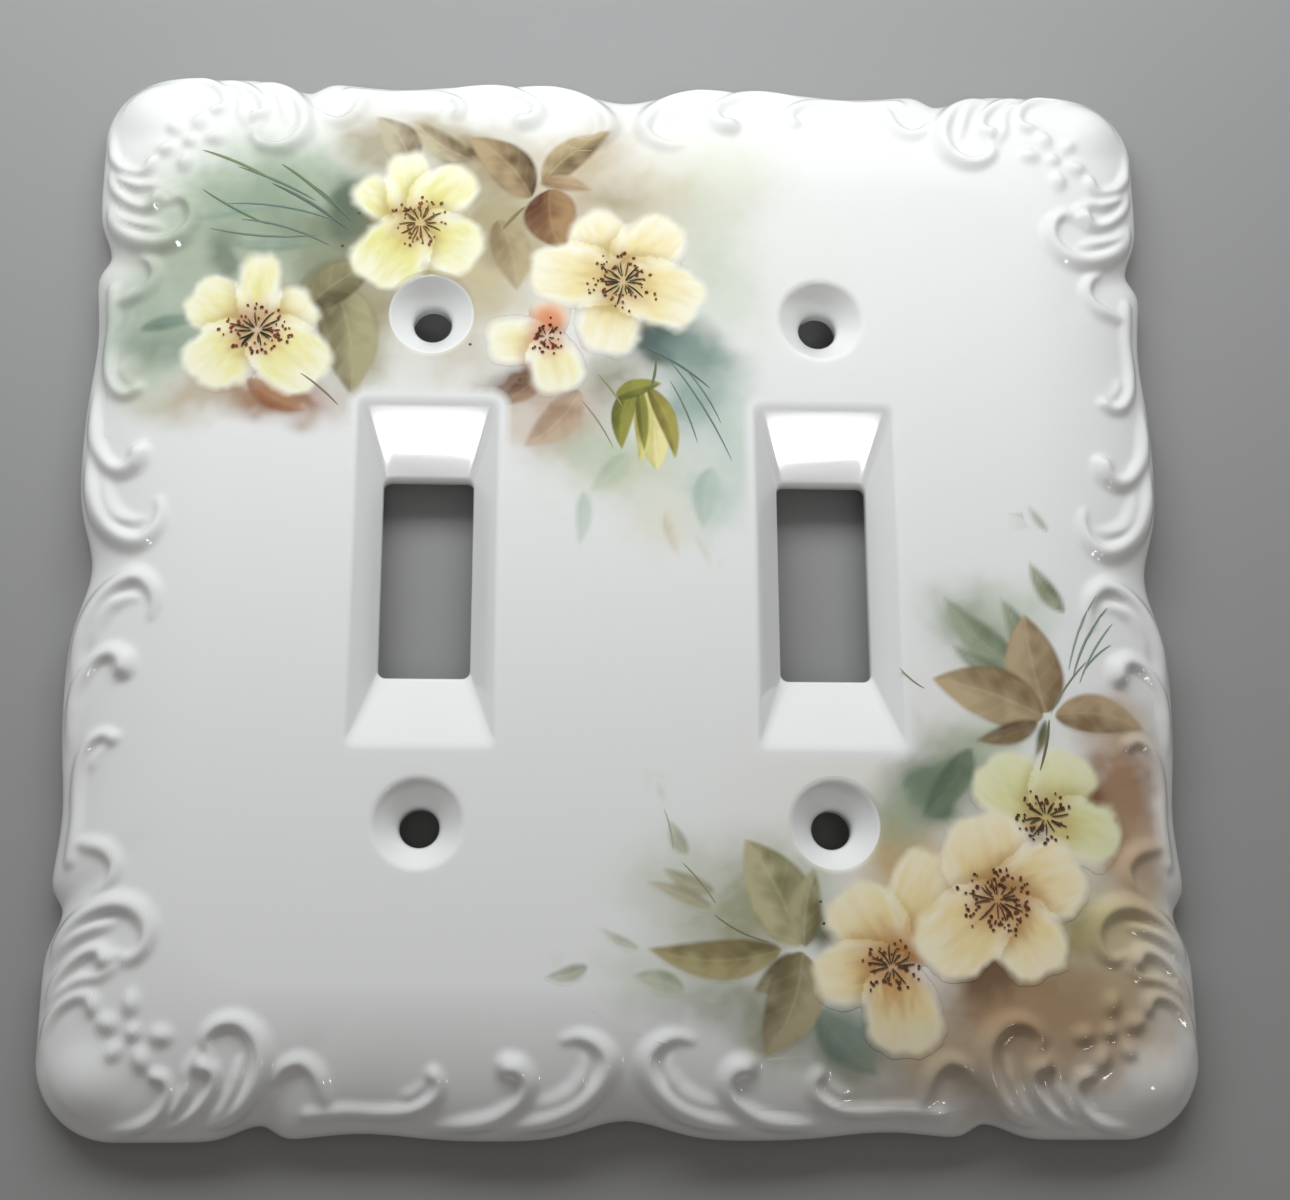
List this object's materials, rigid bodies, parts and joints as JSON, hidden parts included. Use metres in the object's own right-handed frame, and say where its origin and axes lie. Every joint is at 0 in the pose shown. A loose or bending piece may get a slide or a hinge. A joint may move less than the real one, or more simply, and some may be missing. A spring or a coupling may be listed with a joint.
{
  "type": "switch plate cover",
  "caption": "Square porcelain wall plate cover for toggle switches, with moulded scrollwork edge, bevelled wells and painted roses.",
  "frame": {"origin": "on the wall plane, in the middle of the four screw holes", "axes": "+Z out of the face away from the wall, +Y up the wall, +X to the right"},
  "size_m": [0.1276, 0.1276, 0.0088],
  "materials": {
    "porcelain": "clear glossy glaze over white porcelain; unglazed on the back rim",
    "enamel_pale_yellow": "thin glossy overglaze enamel, painted by brush",
    "enamel_golden": "thin glossy overglaze enamel, painted by brush",
    "enamel_orange_pink": "thin glossy overglaze enamel, painted by brush",
    "enamel_rust": "thin glossy overglaze enamel, stippled",
    "enamel_bronze": "thin glossy overglaze enamel, painted by brush",
    "enamel_olive": "thin glossy overglaze enamel, painted by brush",
    "enamel_soft_green": "thin glossy overglaze enamel, wiped soft"
  },
  "bodies": {
    "root": {"corner_flower_bottom_left": "porcelain", "corner_flower_bottom_right": "porcelain", "corner_flower_top_left": "porcelain", "corner_flower_top_right": "porcelain", "corner_knob_bottom_left": "porcelain", "corner_knob_bottom_right": "porcelain", "corner_knob_top_left": "porcelain", "corner_knob_top_right": "porcelain", "corner_scrolls_bottom_left": "porcelain", "corner_scrolls_bottom_right": "porcelain", "corner_scrolls_top_left": "porcelain", "corner_scrolls_top_right": "porcelain", "edge_scrolls_bottom": "porcelain", "edge_scrolls_left": "porcelain", "edge_scrolls_right": "porcelain", "edge_scrolls_top": "porcelain", "grass_strokes_lower": "enamel_olive", "grass_strokes_upper": "enamel_olive", "leaves_bronze_lower": "enamel_bronze", "leaves_bronze_upper": "enamel_bronze", "leaves_green_lower": "enamel_soft_green", "leaves_green_upper": "enamel_soft_green", "leaves_olive_lower": "enamel_olive", "plate_body": "porcelain", "rose_inner_small_petals": "enamel_orange_pink", "rose_inner_small_stamens": "enamel_rust", "rose_lower_gold_petals": "enamel_golden", "rose_lower_gold_stamens": "enamel_rust", "rose_lower_left_petals": "enamel_pale_yellow", "rose_lower_left_stamens": "enamel_rust", "rose_lower_right_petals": "enamel_pale_yellow", "rose_lower_right_stamens": "enamel_rust", "rose_outer_left_petals": "enamel_pale_yellow", "rose_outer_left_stamens": "enamel_rust", "rose_top_centre_petals": "enamel_pale_yellow", "rose_top_centre_stamens": "enamel_rust", "rose_top_left_petals": "enamel_pale_yellow", "rose_top_left_stamens": "enamel_rust", "rosebud_upper": "enamel_pale_yellow"}
  },
  "joints": []
}
